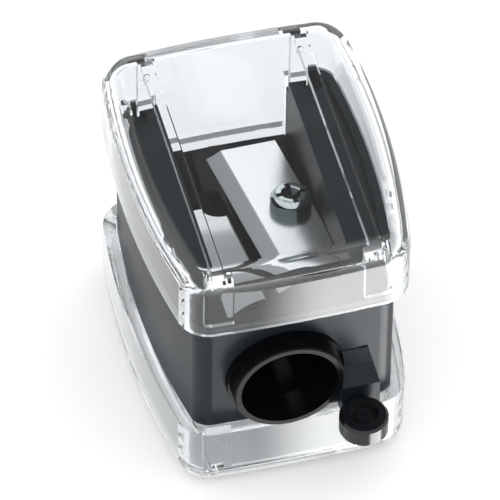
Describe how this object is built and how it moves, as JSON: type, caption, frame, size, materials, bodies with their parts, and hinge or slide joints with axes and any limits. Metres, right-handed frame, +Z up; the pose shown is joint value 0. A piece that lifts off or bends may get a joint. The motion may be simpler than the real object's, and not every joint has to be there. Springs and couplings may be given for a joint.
{
  "type": "pencil sharpener",
  "caption": "Container pencil sharpener: black housing with round pencil hole and bladed core between two clear covers, with a cleaning stick on the front.",
  "frame": {"origin": "centre of the flat underside of the lower cover", "axes": "+Z up; the pencil hole faces -Y, and +X is to the right of someone who faces the hole"},
  "size_m": [0.0242, 0.0349, 0.028],
  "materials": {
    "clear_plastic": "clear polished polystyrene",
    "clear_plastic_top": "clear polished polystyrene",
    "black_housing": "black, fine matte texture",
    "black_core": "black, smooth satin",
    "blade_steel": "fine brushed, ground bevel",
    "plated_screw": "bright plated",
    "black_stick": "black satin"
  },
  "bodies": {
    "lower_cover": {"lower_cover": "clear_plastic"},
    "housing": {"housing": "black_housing", "sharpener_core": "black_core", "blade": "blade_steel", "blade_screw": "plated_screw"},
    "upper_cover": {"upper_cover": "clear_plastic_top"},
    "cleaning_stick": {"cleaning_stick": "black_stick"}
  },
  "joints": [
    {"name": "housing_lift", "type": "slide", "parent": "lower_cover", "child": "housing", "axis": [0, 0, 1], "range_m": [0, 0.012]},
    {"name": "cover_lift", "type": "slide", "parent": "housing", "child": "upper_cover", "axis": [0, 0, 1], "range_m": [0, 0.012]},
    {"name": "stick_pull", "type": "slide", "parent": "housing", "child": "cleaning_stick", "axis": [0, -1, 0], "range_m": [0, 0.017]}
  ]
}
